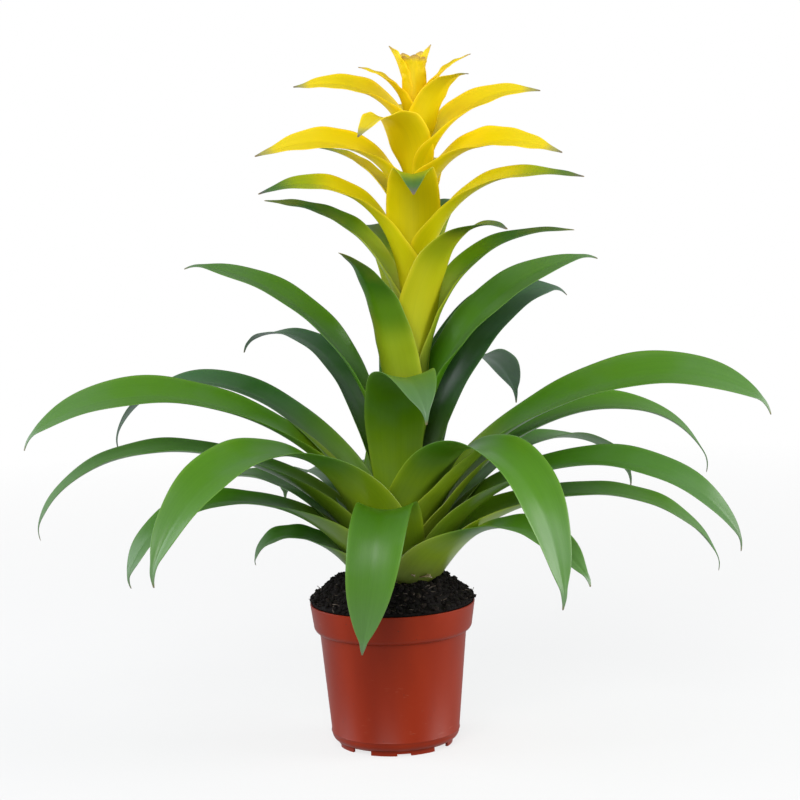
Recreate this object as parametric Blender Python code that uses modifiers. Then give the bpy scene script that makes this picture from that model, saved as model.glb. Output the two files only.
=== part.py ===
"""Potted bromeliad: a plastic nursery pot, its potting soil, and the plant in it.

The plant is a stem with a rosette of strap leaves at its foot and bracts up its flower stalk.
Each leaf is a strip that is bent along a centre line and cupped across it, with its sheath round the stem.
Metres, +Z up. The origin is the middle of the pot's underside, and -Y is the front.
"""

import math
from typing import NamedTuple

import bmesh
import bpy
from mathutils import Matrix, Vector

COLLECTION = "potted_bromeliad"

# Pot: a turned shell with a rim band, standing on a notched foot ring
POT_HEIGHT = 0.105
RIM_RADIUS = 0.060
RIM_BAND_HEIGHT = 0.0215
RIM_BAND_DRAFT = 0.0023
RIM_STEP = 0.0044
BASE_RADIUS = 0.0465
CORNER_RADIUS = 0.006
POT_WALL = 0.0014
FOOT_RADIUS = 0.0415
FOOT_HEIGHT = 0.0035
FOOT_WALL = 0.002
POT_TURN_STEPS = 40
CORNER_STEPS = 4
NOTCH_COUNT = 4
NOTCH_TURN = 53.0
NOTCH_WIDTH = 0.016
SMALL_NOTCH_WIDTH = 0.010
SMALL_NOTCH_HEIGHT = 0.0015
DRAIN_HOLE_RADIUS = 0.004
DRAIN_HOLE_REACH = 0.032
ROD_SIDES = 16

# Soil: fills the pot and heaps up round the stem
SOIL_EDGE_RISE = 0.001
SOIL_MOUND = 0.013
SOIL_MOUND_RADIUS = 0.030
SOIL_TURN_STEPS = 32
SOIL_RINGS = 5
FIT_GAP = 0.0004

# Stem and flower stalk
STEM_RADIUS = 0.009
STEM_TIP_RADIUS = 0.0035
STEM_DEPTH = 0.030
STALK_HEIGHT = 0.345
STALK_POINTS = 14
STALK_BEVEL_RESOLUTION = 2
PLANT_OFFSET = 0.0045
PLANT_LEAN = 0.021

# Leaves and bracts
LEAF_THICKNESS = 0.0007
BRACT_THICKNESS = 0.0005
SHEATH_GAP = 0.0015
SHEATH_WIDTH = 0.054
SHEATH_WRAP = 45.0
CUP_WRAP = 55.0
LEAST_SLOPE = 0.2
TIP_WIDTH = 0.0012
TWIST_FROM = 0.1
TWIST_TO = 0.8
BEND_STEPS = 60
LEAF_COLUMNS = 4

# Colours, as linear red, green and blue. A bract is all yellow above this share of the stalk's height
LOWEST_LEAF_COLOUR = (0.05, 0.16, 0.03)
HIGHEST_LEAF_COLOUR = (0.09, 0.24, 0.04)
GREEN_BRACT_COLOUR = (0.16, 0.28, 0.02)
YELLOW_BRACT_COLOUR = (0.80, 0.58, 0.01)
YELLOW_FROM = 0.7


class Kind(NamedTuple):
    """What the leaves of one kind share. The places along a leaf are shares of its length.

    rows: how many faces it has along its length.
    thickness, cup_radius: in metres, the second being its widest cup's.
    sheath_width: its base is this wide where the stem leaves room, or as wide as the blade.
    widens_from, widens_to: where its sheath starts to change to the blade's width, and where it ends.
    tapers_from, taper_power, tip_power: where it starts to narrow, how late it does, and how bluntly.
    """

    rows: int
    thickness: float
    cup_radius: float
    sheath_width: float
    widens_from: float
    widens_to: float
    tapers_from: float
    taper_power: float
    tip_power: float


STRAP_LEAF = Kind(11, LEAF_THICKNESS, 0.040, SHEATH_WIDTH, 0.03, 0.40, 0.50, 2.8, 0.85)
BRACT = Kind(9, BRACT_THICKNESS, 0.026, 0.0, 0.0, 0.45, 0.35, 1.8, 0.95)


class Leaf(NamedTuple):
    """One leaf or bract. Lengths are in metres and angles in degrees.

    azimuth: which way it grows, from +X towards +Y.
    layer: its sheath's place in the nest of sheaths, 0 being next to the stem.
    start: the height of its base above the soil, as a share of the stalk's.
    length, width: along its centre line, and across at its widest.
    bend: its slope above the horizontal at the base, one third, two thirds and the tip.
    sweep: how far its heading turns by the tip.
    twist: how far its face turns about its centre line by the tip.
    """

    azimuth: float
    layer: int
    start: float
    length: float
    width: float
    bend: tuple
    sweep: float = 0.0
    twist: float = 0.0


LEAVES = (
    Leaf(178, 8, 0.000, 0.102, 0.034, (56, 36, -10, -85), 0, -10),
    Leaf(-42, 8, 0.000, 0.178, 0.040, (50, 28, -14, -50), 0, 8),
    Leaf(70, 8, 0.000, 0.200, 0.036, (58, 28, -8, -55)),
    Leaf(197, 7, 0.000, 0.228, 0.036, (66, 28, -14, -84), 0, -15),
    Leaf(5, 7, 0.000, 0.262, 0.036, (62, 21, -16, -78), 0, 12),
    Leaf(101, 7, 0.000, 0.235, 0.038, (66, 26, -10, -55)),
    Leaf(-102, 6, 0.000, 0.212, 0.044, (76, 24, -76, -88), -14),
    Leaf(155, 6, 0.000, 0.192, 0.036, (70, 36, 2, -42)),
    Leaf(-9, 6, 0.000, 0.292, 0.040, (70, 27, -16, -68), 0, 20),
    Leaf(35, 5, 0.000, 0.264, 0.038, (75, 32, -6, -66)),
    Leaf(184, 5, 0.000, 0.306, 0.038, (80, 34, -4, -80), 0, -8),
    Leaf(225, 4, 0.006, 0.296, 0.044, (85, 35, -12, -86), 0, -16),
    Leaf(13, 4, 0.006, 0.298, 0.040, (80, 42, 0, -68), 0, 15),
    Leaf(130, 4, 0.006, 0.165, 0.038, (79, 44, 0, -74)),
    Leaf(190, 3, 0.012, 0.336, 0.044, (83, 45, 6, -58), 0, -24),
    Leaf(-10, 3, 0.012, 0.334, 0.046, (80, 43, 10, -52), 0, 30),
    Leaf(90, 3, 0.017, 0.260, 0.040, (82, 45, 5, -50)),
    Leaf(160, 2, 0.017, 0.304, 0.040, (84, 52, 6, -76), 0, -10),
    Leaf(-53, 2, 0.017, 0.290, 0.048, (82, 36, -40, -80)),
    Leaf(60, 2, 0.023, 0.290, 0.042, (83, 58, 4, -65)),
    Leaf(-92, 1, 0.035, 0.234, 0.046, (82, 77, 24, -76), 28),
    Leaf(27, 1, 0.041, 0.264, 0.048, (86, 74, 46, -22)),
    Leaf(146, 1, 0.070, 0.238, 0.042, (86, 72, 32, -46)),
    Leaf(89, 0, 0.104, 0.250, 0.030, (86, 71, 32, -20)),
    Leaf(3, 0, 0.128, 0.258, 0.042, (87, 72, 40, 2), 0, 20),
    Leaf(180, 0, 0.133, 0.262, 0.040, (86, 70, 38, 2), 0, -12),
)

BRACTS = (
    Leaf(108, 0, 0.290, 0.125, 0.032, (82, 78, 66, 50)),
    Leaf(218, 0, 0.307, 0.154, 0.042, (82, 78, 66, 15)),
    Leaf(80, 0, 0.325, 0.190, 0.034, (80, 68, 26, -5)),
    Leaf(15, 0, 0.348, 0.204, 0.034, (80, 70, 28, -6)),
    Leaf(-48, 0, 0.377, 0.184, 0.044, (83, 76, 40, -24)),
    Leaf(110, 0, 0.481, 0.160, 0.032, (80, 56, 20, -10)),
    Leaf(166, 0, 0.522, 0.156, 0.030, (81, 60, 26, 4)),
    Leaf(195, 0, 0.562, 0.168, 0.038, (83, 68, 18, -22), 0, -15),
    Leaf(66, 0, 0.586, 0.128, 0.032, (80, 55, 20, -10)),
    Leaf(-15, 0, 0.603, 0.168, 0.038, (82, 54, 12, -10), 0, 15),
    Leaf(-90, 0, 0.626, 0.128, 0.034, (81, 80, 22, -64)),
    Leaf(158, 0, 0.696, 0.122, 0.030, (82, 58, 20, -8)),
    Leaf(188, 0, 0.725, 0.150, 0.036, (83, 54, 4, -20), 0, -15),
    Leaf(75, 0, 0.730, 0.120, 0.030, (80, 45, 5, -15)),
    Leaf(-10, 0, 0.759, 0.130, 0.036, (82, 44, 0, -24), 0, 15),
    Leaf(-120, 0, 0.803, 0.114, 0.034, (84, 64, 2, -38)),
    Leaf(12, 0, 0.817, 0.124, 0.030, (82, 58, 22, -10), 0, 12),
    Leaf(100, 0, 0.841, 0.090, 0.026, (82, 60, 25, -5)),
    Leaf(-45, 0, 0.858, 0.092, 0.032, (84, 72, 44, -14)),
    Leaf(180, 0, 0.881, 0.112, 0.028, (82, 54, 12, -8), 0, -12),
)

CROWN = (
    Leaf(192, 0, 0.933, 0.066, 0.022, (82, 72, 38, 8)),
    Leaf(-12, 0, 0.936, 0.071, 0.020, (82, 72, 42, 15)),
    Leaf(-85, 0, 0.957, 0.051, 0.011, (81, 86, 87, 85)),
    Leaf(182, 0, 0.991, 0.048, 0.012, (86, 77, 68, 62)),
    Leaf(-2, 0, 0.991, 0.047, 0.012, (87, 85, 82, 78)),
)


def smoothstep(low, high, value):
    """0 below low, 1 above high, and an even rise between them."""
    share = min(1.0, max(0.0, (value - low) / (high - low)))
    return share * share * (3 - 2 * share)


def soil_top(radius):
    """Height of the soil's surface at this distance from the pot's axis."""
    edge = POT_HEIGHT + SOIL_EDGE_RISE
    inner = RIM_RADIUS - POT_WALL - FIT_GAP
    return edge + SOIL_MOUND * (1 - smoothstep(SOIL_MOUND_RADIUS, inner, radius))


def stem_radius(height):
    """The stem's radius at this height above the soil."""
    share = max(0.0, height) / STALK_HEIGHT
    return STEM_RADIUS + (STEM_TIP_RADIUS - STEM_RADIUS) * share


def axis_point(height):
    """Where the plant's axis is at this height above the soil. It leans a little to +X."""
    rise = max(0.0, height) / STALK_HEIGHT
    lean = PLANT_LEAN * (2 - rise) * rise if rise < 1 else PLANT_LEAN
    return Vector((PLANT_OFFSET + lean, 0, soil_top(0) + height))


def bend_angle(bend, share):
    """The cubic that passes through the four slopes of a leaf, in radians."""
    total = 0.0
    for i, slope in enumerate(bend):
        weight = 1.0
        for j in range(len(bend)):
            if j != i:
                weight *= (share * 3 - j) / (i - j)
        total += slope * weight
    return math.radians(total)


def width_at(leaf, kind, share, sheath_radius):
    """A leaf's width: its sheath, which may wrap only so far round the stem, its blade and its tip."""
    widest = max(leaf.width, kind.sheath_width)
    sheath = min(widest, 2 * sheath_radius * math.radians(SHEATH_WRAP))
    blade = sheath + (leaf.width - sheath) * smoothstep(kind.widens_from, kind.widens_to, share)
    taper = max(0.0, share - kind.tapers_from) / (1 - kind.tapers_from)
    return max(TIP_WIDTH, blade * (1 - taper**kind.taper_power) ** kind.tip_power)


def centre_line(leaf, kind):
    """Sections along a leaf: its point, side, upward normal, and radius round the plant's axis.

    That radius is a cone's, measured square to the leaf, so that leaves of like slope nest.
    """
    start = leaf.start * STALK_HEIGHT
    gap = FIT_GAP + kind.thickness
    sheath = stem_radius(start) + gap + leaf.layer * (LEAF_THICKNESS + SHEATH_GAP)
    heading = math.radians(leaf.azimuth)
    point = axis_point(start + gap) + sheath * Vector((math.cos(heading), math.sin(heading), 0))
    sections = []
    every = BEND_STEPS // kind.rows
    steps = kind.rows * every
    for step in range(steps + 1):
        share = step / steps
        slope = bend_angle(leaf.bend, share)
        heading = math.radians(leaf.azimuth + leaf.sweep * share * share)
        out = Vector((math.cos(heading), math.sin(heading), 0))
        ahead = out * math.cos(slope) + Vector((0, 0, math.sin(slope)))
        side = Vector((-out.y, out.x, 0))
        up = ahead.cross(side)
        twist = math.radians(leaf.twist) * smoothstep(TWIST_FROM, TWIST_TO, share)
        turn = Matrix.Rotation(twist, 3, ahead)
        if step % every == 0:
            axis = axis_point(point.z - soil_top(0))
            away = (point - axis).to_2d().length
            radius = away / max(math.sin(slope), LEAST_SLOPE)
            sections.append((point.copy(), turn @ side, turn @ up, radius))
        point += ahead * leaf.length / steps
    return sections


def leaf_surface(leaf, kind):
    """The grid of points of a leaf's upper face: one row a section, from one edge to the other."""
    grid = []
    sections = centre_line(leaf, kind)
    sheath_radius = sections[0][3]
    for row, (point, side, up, radius) in enumerate(sections):
        width = width_at(leaf, kind, row / kind.rows, sheath_radius)
        radius = max(min(radius, kind.cup_radius), width / 2 / math.radians(CUP_WRAP))
        half = width / 2 / radius
        line = []
        for column in range(LEAF_COLUMNS + 1):
            angle = half * (2 * column / LEAF_COLUMNS - 1)
            line.append(point + side * radius * math.sin(angle) + up * radius * (1 - math.cos(angle)))
        grid.append(line)
    return grid


def material(name, colour, roughness):
    """A plain Principled material."""
    made = bpy.data.materials.new(name)
    made.use_nodes = True
    shader = made.node_tree.nodes["Principled BSDF"]
    shader.inputs["Base Color"].default_value = (*colour, 1)
    shader.inputs["Roughness"].default_value = roughness
    shader.inputs["Metallic"].default_value = 0
    made.diffuse_color = (*colour, 1)
    return made


def add_object(name, data, collection, finish=None):
    """Puts mesh or curve data in the scene as a named object."""
    obj = bpy.data.objects.new(name, data)
    collection.objects.link(obj)
    if finish:
        data.materials.append(finish)
    return obj


def turned(name, profile, steps, collection, finish):
    """A solid turned about the Z axis from a profile that starts and ends on the axis."""
    mesh = bpy.data.meshes.new(name)
    bm = bmesh.new()
    line = [bm.verts.new((radius, 0, height)) for radius, height in profile]
    for first, second in zip(line, line[1:]):
        bm.edges.new((first, second))
    bm.to_mesh(mesh)
    bm.free()
    obj = add_object(name, mesh, collection, finish)
    screw = obj.modifiers.new("turn", "SCREW")
    screw.steps = screw.render_steps = steps
    screw.use_merge_vertices = True
    screw.merge_threshold = 0.00001
    screw.use_smooth_shade = True
    return obj


def cutter(name, shape, collection):
    """Makes a guide object of a mesh that cuts others and isn't part of the model."""
    obj = add_object(name, shape, collection)
    obj.hide_render = True
    obj.display_type = "WIRE"
    return obj


def box_mesh(name, size, centre):
    """A box with this size and centre."""
    mesh = bpy.data.meshes.new(name)
    bm = bmesh.new()
    bmesh.ops.create_cube(bm, size=1)
    bmesh.ops.scale(bm, verts=bm.verts, vec=size)
    bmesh.ops.translate(bm, verts=bm.verts, vec=centre)
    bm.to_mesh(mesh)
    bm.free()
    return mesh


def rod_mesh(name, radius, height, centre):
    """An upright cylinder with this centre."""
    mesh = bpy.data.meshes.new(name)
    bm = bmesh.new()
    bmesh.ops.create_cone(
        bm, cap_ends=True, segments=ROD_SIDES, radius1=radius, radius2=radius, depth=height
    )
    bmesh.ops.translate(bm, verts=bm.verts, vec=centre)
    bm.to_mesh(mesh)
    bm.free()
    return mesh


def cut(obj, tool):
    """Takes one shape out of another."""
    boolean = obj.modifiers.new(tool.name, "BOOLEAN")
    boolean.operation = "DIFFERENCE"
    boolean.solver = "EXACT"
    boolean.object = tool


def wall_radii():
    """The outer radius of the pot just under its rim band, and the height where that is."""
    return RIM_RADIUS - RIM_BAND_DRAFT - RIM_STEP, POT_HEIGHT - RIM_BAND_HEIGHT


def corner_arc(radius, corner, floor):
    """The points of the rounded corner at the bottom of a wall, from the wall to the floor."""
    points = []
    for step in range(CORNER_STEPS + 1):
        angle = math.pi / 2 * step / CORNER_STEPS
        points.append(
            (radius - corner * (1 - math.cos(angle)), floor + corner * (1 - math.sin(angle)))
        )
    return points


def inner_profile(gap):
    """The inside of the pot, from its rim down to the floor, this far in from the wall."""
    wall, shelf = wall_radii()
    inset = POT_WALL + gap
    floor = FOOT_HEIGHT + POT_WALL + gap
    sides = [
        (RIM_RADIUS - inset, POT_HEIGHT),
        (RIM_RADIUS - RIM_BAND_DRAFT - inset, shelf + inset),
        (wall - inset, shelf + inset),
    ]
    return sides + corner_arc(BASE_RADIUS - inset, CORNER_RADIUS - inset, floor)


def make_pot(collection, cutters):
    """The pot: its shell, rim band and foot ring, with notches in the ring and drain holes in the floor."""
    wall, shelf = wall_radii()
    inside = inner_profile(0)
    outside = [
        (RIM_RADIUS, POT_HEIGHT),
        (RIM_RADIUS - RIM_BAND_DRAFT, shelf + RIM_STEP / 2),
        (wall + RIM_STEP / 2, shelf),
        (wall, shelf),
    ]
    outside += corner_arc(BASE_RADIUS, CORNER_RADIUS, FOOT_HEIGHT)
    foot = [
        (FOOT_RADIUS, FOOT_HEIGHT),
        (FOOT_RADIUS, 0),
        (FOOT_RADIUS - FOOT_WALL, 0),
        (FOOT_RADIUS - FOOT_WALL, FOOT_HEIGHT),
        (0, FOOT_HEIGHT),
    ]
    outside = [point for point in outside if point[0] > FOOT_RADIUS]
    profile = [(0, FOOT_HEIGHT + POT_WALL)] + inside[::-1] + outside + foot
    finish = material("pot_plastic", (0.42, 0.075, 0.03), 0.45)
    pot = turned("pot", profile, POT_TURN_STEPS, collection, finish)
    for index in range(NOTCH_COUNT):
        turn = math.radians(NOTCH_TURN + index * 360 / NOTCH_COUNT)
        between = turn + math.pi / NOTCH_COUNT
        for name, angle, width, height in (
            ("notch", turn, NOTCH_WIDTH, FOOT_HEIGHT - FIT_GAP),
            ("small_notch", between, SMALL_NOTCH_WIDTH, SMALL_NOTCH_HEIGHT),
        ):
            reach = FOOT_WALL * 4
            middle = Vector((FOOT_RADIUS - FOOT_WALL / 2, 0, 0))
            shape = box_mesh(f"{name}_{index + 1}", (reach, width, height * 2), middle)
            tool = cutter(f"{name}_{index + 1}", shape, cutters)
            tool.rotation_euler = (0, 0, angle)
            cut(pot, tool)
        centre = Vector((DRAIN_HOLE_REACH, 0, FOOT_HEIGHT + POT_WALL / 2))
        shape = rod_mesh(f"drain_hole_{index + 1}", DRAIN_HOLE_RADIUS, POT_WALL * 4, centre)
        tool = cutter(f"drain_hole_{index + 1}", shape, cutters)
        tool.rotation_euler = (0, 0, turn)
        cut(pot, tool)
    return pot


def make_soil(collection, cutters):
    """The soil: it fills the pot, heaps up round the plant and has a hole for the stem's foot."""
    inside = inner_profile(FIT_GAP)
    edge = inside[0][0]
    top = []
    for ring in range(SOIL_RINGS + 1):
        radius = SOIL_MOUND_RADIUS + (edge - SOIL_MOUND_RADIUS) * ring / SOIL_RINGS
        top.append((radius, soil_top(radius)))
    floor = inside[-1][1]
    profile = [(0, soil_top(0))] + top + inside[1:] + [(0, floor)]
    finish = material("potting_soil", (0.022, 0.014, 0.010), 0.95)
    soil = turned("soil", profile, SOIL_TURN_STEPS, collection, finish)
    depth = STEM_DEPTH + FIT_GAP
    centre = axis_point(0)
    shape = rod_mesh("stem_hole", STEM_RADIUS + FIT_GAP, depth * 2, centre)
    cut(soil, cutter("stem_hole", shape, cutters))
    return soil


def make_stem(collection):
    """The stem from its foot in the soil to the top of the flower stalk, thinner as it goes up."""
    curve = bpy.data.curves.new("stem", "CURVE")
    curve.dimensions = "3D"
    curve.bevel_depth = STEM_RADIUS
    curve.bevel_resolution = STALK_BEVEL_RESOLUTION
    curve.use_fill_caps = True
    spline = curve.splines.new("POLY")
    spline.points.add(STALK_POINTS - 1)
    for index, point in enumerate(spline.points):
        height = -STEM_DEPTH + (STALK_HEIGHT + STEM_DEPTH) * index / (STALK_POINTS - 1)
        point.co = (*axis_point(height), 1)
        point.radius = stem_radius(height) / STEM_RADIUS
    return add_object("stem", curve, collection, material("stem", (0.35, 0.42, 0.08), 0.5))


def make_leaf(name, leaf, kind, finish, collection):
    """One leaf or bract: its bent and cupped face, given its thickness on the outer side."""
    surface = leaf_surface(leaf, kind)
    mesh = bpy.data.meshes.new(name)
    bm = bmesh.new()
    bmesh.ops.create_grid(bm, x_segments=LEAF_COLUMNS, y_segments=kind.rows, size=1)
    for vert in bm.verts:
        column = round((vert.co.x + 1) / 2 * LEAF_COLUMNS)
        row = round((vert.co.y + 1) / 2 * kind.rows)
        vert.co = surface[row][column]
    bm.to_mesh(mesh)
    bm.free()
    mesh.shade_smooth()
    obj = add_object(name, mesh, collection, finish)
    solidify = obj.modifiers.new("thickness", "SOLIDIFY")
    solidify.thickness = kind.thickness
    solidify.offset = 1
    return obj


def mix(first, second, share):
    """A colour part of the way from the first to the second."""
    return tuple(a + (b - a) * share for a, b in zip(first, second))


def make_plant(collection):
    """The stem, and each leaf and bract as its own object. Bracts are yellower the higher they start."""
    make_stem(collection)
    for index, leaf in enumerate(LEAVES, 1):
        name = f"leaf_{index:02d}"
        colour = mix(LOWEST_LEAF_COLOUR, HIGHEST_LEAF_COLOUR, index / len(LEAVES))
        make_leaf(name, leaf, STRAP_LEAF, material(name, colour, 0.38), collection)
    for prefix, rows in (("bract_{:02d}", BRACTS), ("crown_bract_{}", CROWN)):
        for index, bract in enumerate(rows, 1):
            name = prefix.format(index)
            share = smoothstep(BRACTS[0].start, YELLOW_FROM, bract.start)
            colour = mix(GREEN_BRACT_COLOUR, YELLOW_BRACT_COLOUR, share)
            make_leaf(name, bract, BRACT, material(name, colour, 0.42), collection)


def main():
    """Clears the scene and makes the object."""
    for obj in list(bpy.data.objects):
        bpy.data.objects.remove(obj)
    collection = bpy.data.collections.new(COLLECTION)
    cutters = bpy.data.collections.new("cutters")
    bpy.context.scene.collection.children.link(collection)
    bpy.context.scene.collection.children.link(cutters)
    make_pot(collection, cutters)
    make_soil(collection, cutters)
    make_plant(collection)


if __name__ == "__main__":
    main()
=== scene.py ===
"""The looks of a potted bromeliad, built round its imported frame.

The plant is a rosette of strap leaves with a spike of bracts above it, in a plastic nursery pot of soil.
A leaf is a strip that is bent along a centre line and cupped across it, with its sheath round the stem.
Metres, +Z up. The origin is on the pot's axis, on the surface that it stands on, and -Y is the front.
"""

import logging
import math
import random
from dataclasses import dataclass, field
from enum import Enum
from functools import partial
from typing import Any

import bmesh
import bpy
from mathutils import Matrix, Vector, noise


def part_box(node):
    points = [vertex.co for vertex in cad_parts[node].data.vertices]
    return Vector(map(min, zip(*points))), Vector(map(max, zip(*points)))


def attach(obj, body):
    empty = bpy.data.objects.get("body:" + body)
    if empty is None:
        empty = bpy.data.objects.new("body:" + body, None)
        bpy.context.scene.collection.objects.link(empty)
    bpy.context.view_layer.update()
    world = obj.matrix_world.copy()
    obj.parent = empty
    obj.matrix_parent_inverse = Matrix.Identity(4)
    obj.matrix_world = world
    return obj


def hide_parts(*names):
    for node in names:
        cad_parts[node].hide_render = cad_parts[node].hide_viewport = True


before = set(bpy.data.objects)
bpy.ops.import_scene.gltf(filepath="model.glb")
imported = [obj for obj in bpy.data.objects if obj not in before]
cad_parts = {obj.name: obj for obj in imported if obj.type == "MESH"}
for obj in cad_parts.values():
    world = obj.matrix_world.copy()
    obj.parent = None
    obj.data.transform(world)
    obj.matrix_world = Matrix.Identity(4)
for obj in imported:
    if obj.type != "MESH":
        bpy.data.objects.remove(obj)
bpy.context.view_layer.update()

LOG = logging.getLogger("bromeliad")
BODY = "root"
MERGE_DISTANCE = 0.00001
Span = tuple[float, float]
Triple = tuple[float, float, float]
Bend = tuple[float, float, float, float]


class Slot(Enum):
    """The material slots."""

    POT = "pot_plastic"
    SOIL = "potting_soil"
    STEM = "plant_stem"
    LEAF = "green_leaf"
    BRACT = "yellow_bract"


class Bit(Enum):
    """What lies loose on the soil."""

    CRUMB = "crumb"
    FIBRE = "fibre"


class Palette(Enum):
    """Colours along a leaf: each stop is a share of its length and a linear colour."""

    OUTER = (
        (0.00, (0.150, 0.190, 0.030)),
        (0.16, (0.180, 0.290, 0.012)),
        (0.40, (0.052, 0.175, 0.004)),
        (0.66, (0.068, 0.210, 0.010)),
        (0.90, (0.090, 0.220, 0.045)),
        (1.00, (0.130, 0.210, 0.100)),
    )
    BROAD = (
        (0.00, (0.210, 0.250, 0.035)),
        (0.22, (0.270, 0.400, 0.010)),
        (0.42, (0.068, 0.210, 0.003)),
        (0.70, (0.090, 0.250, 0.012)),
        (0.92, (0.115, 0.265, 0.055)),
        (1.00, (0.170, 0.280, 0.140)),
    )
    INNER = (
        (0.00, (0.240, 0.310, 0.025)),
        (0.28, (0.210, 0.340, 0.004)),
        (0.55, (0.070, 0.180, 0.002)),
        (0.80, (0.085, 0.215, 0.025)),
        (1.00, (0.120, 0.220, 0.100)),
    )
    DARK = (
        (0.00, (0.200, 0.290, 0.015)),
        (0.24, (0.130, 0.270, 0.005)),
        (0.50, (0.030, 0.115, 0.014)),
        (0.78, (0.048, 0.145, 0.045)),
        (1.00, (0.120, 0.200, 0.130)),
    )
    GREEN_BRACT = (
        (0.00, (0.330, 0.400, 0.050)),
        (0.42, (0.360, 0.470, 0.012)),
        (0.60, (0.110, 0.240, 0.002)),
        (0.78, (0.042, 0.140, 0.003)),
        (1.00, (0.080, 0.160, 0.040)),
    )
    LIME_BRACT = (
        (0.00, (0.400, 0.470, 0.025)),
        (0.50, (0.620, 0.600, 0.006)),
        (0.68, (0.420, 0.480, 0.003)),
        (0.80, (0.070, 0.165, 0.004)),
        (0.94, (0.090, 0.170, 0.050)),
        (1.00, (0.160, 0.170, 0.140)),
    )
    GOLD_BRACT = (
        (0.00, (0.600, 0.580, 0.004)),
        (0.35, (0.760, 0.680, 0.001)),
        (0.64, (0.800, 0.670, 0.001)),
        (0.80, (0.340, 0.430, 0.010)),
        (0.93, (0.085, 0.190, 0.040)),
        (1.00, (0.130, 0.120, 0.140)),
    )
    YELLOW_BRACT = (
        (0.00, (0.680, 0.640, 0.001)),
        (0.30, (0.860, 0.710, 0.001)),
        (0.62, (0.960, 0.730, 0.001)),
        (0.88, (0.940, 0.720, 0.012)),
        (0.96, (0.420, 0.400, 0.120)),
        (1.00, (0.150, 0.120, 0.160)),
    )
    CROWN = (
        (0.00, (0.740, 0.600, 0.001)),
        (0.40, (0.960, 0.700, 0.001)),
        (0.88, (0.980, 0.740, 0.004)),
        (1.00, (0.620, 0.380, 0.120)),
    )
    PAPER = (
        (0.00, (0.160, 0.090, 0.050)),
        (0.50, (0.300, 0.190, 0.110)),
        (1.00, (0.520, 0.420, 0.320)),
    )


@dataclass(frozen=True)
class Outline:
    """How wide the leaves of one form are along their length, in shares of that length.

    widens: where the sheath starts to change to the blade's width, and where it ends.
    tapers_from, taper_power, tip_power: where it starts to narrow, how late it does, and how bluntly.
    cup_radius: its widest cup's radius.
    sheath_wrap: how far round the stem its base reaches to each side, in degrees.
    point: the narrow hooked point that it ends in.
    """

    steps: int
    thickness: float
    cup_radius: float
    sheath_wrap: float
    widens: Span
    tapers_from: float
    taper_power: float
    tip_power: float
    point: float = 0.0


class Form(Enum):
    """The leaves' forms.

    STRAP is a leaf that stays broad, POINTED one that narrows sooner, and CUP the one at the heart.
    BRACT is a broad bract, FLAME one that narrows evenly, and CREST a blunt one of the crown.
    """

    STRAP = Outline(72, 0.0006, 0.040, 112.0, (0.10, 0.48), 0.56, 3.0, 0.76, 0.035)
    POINTED = Outline(72, 0.0006, 0.040, 112.0, (0.10, 0.48), 0.50, 2.4, 0.86, 0.035)
    CUP = Outline(55, 0.0006, 0.040, 45.0, (0.02, 0.46), 0.54, 3.0, 0.80, 0.035)
    BRACT = Outline(54, 0.0005, 0.026, 125.0, (0.0, 0.30), 0.38, 1.9, 0.90)
    FLAME = Outline(54, 0.0005, 0.026, 125.0, (0.0, 0.26), 0.22, 1.45, 0.95)
    CREST = Outline(54, 0.0005, 0.014, 125.0, (0.0, 0.30), 0.55, 3.2, 0.70)


@dataclass(frozen=True)
class Leaf:
    """One leaf or bract. Lengths are in metres and angles in degrees.

    azimuth: which way it grows, from +X towards +Y.
    nest: how many sheath thicknesses lie between it and the stem.
    start: the height of its base above the soil, as a share of the stalk's.
    bend: its slope above the horizontal at the base, one third, two thirds and the tip.
    sweep, twist: how far its heading and its face turn by the tip.
    wrap: how far round its blade curves to each side.
    drift: how far its tip lies to one side.
    sheath_width: its base is this wide at most, or as wide as its blade.
    """

    azimuth: float
    nest: float
    start: float
    length: float
    width: float
    bend: Bend
    sweep: float = 0.0
    twist: float = 0.0
    palette: Palette = Palette.OUTER
    wrap: float = 50.0
    drift: float = 0.0
    form: Form = Form.STRAP
    sheath_width: float = 0.070
    ripple: float = 0.0004


def bract(
    azimuth: float, start: float, length: float, width: float, bend: Bend, palette: Palette, **other: Any
) -> Leaf:
    """A leaf of the stalk, right against it, with a sheath no wider than its blade.

    Args:
        azimuth: Which way it grows.
        start: The height of its base, as a share of the stalk's.
        length: Its length.
        width: Its width.
        bend: Its four slopes.
        palette: Its colours.
        other: Any other value of a leaf.

    Returns:
        The leaf.
    """
    values = {"nest": 0, "form": Form.BRACT, "sheath_width": 0} | other
    return Leaf(
        azimuth=azimuth, start=start, length=length, width=width, bend=bend, palette=palette, **values
    )


# A bract that narrows evenly, and a blunt one of the crown.
flame = partial(bract, form=Form.FLAME, wrap=46)
crest = partial(bract, form=Form.CREST, wrap=60)

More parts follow.
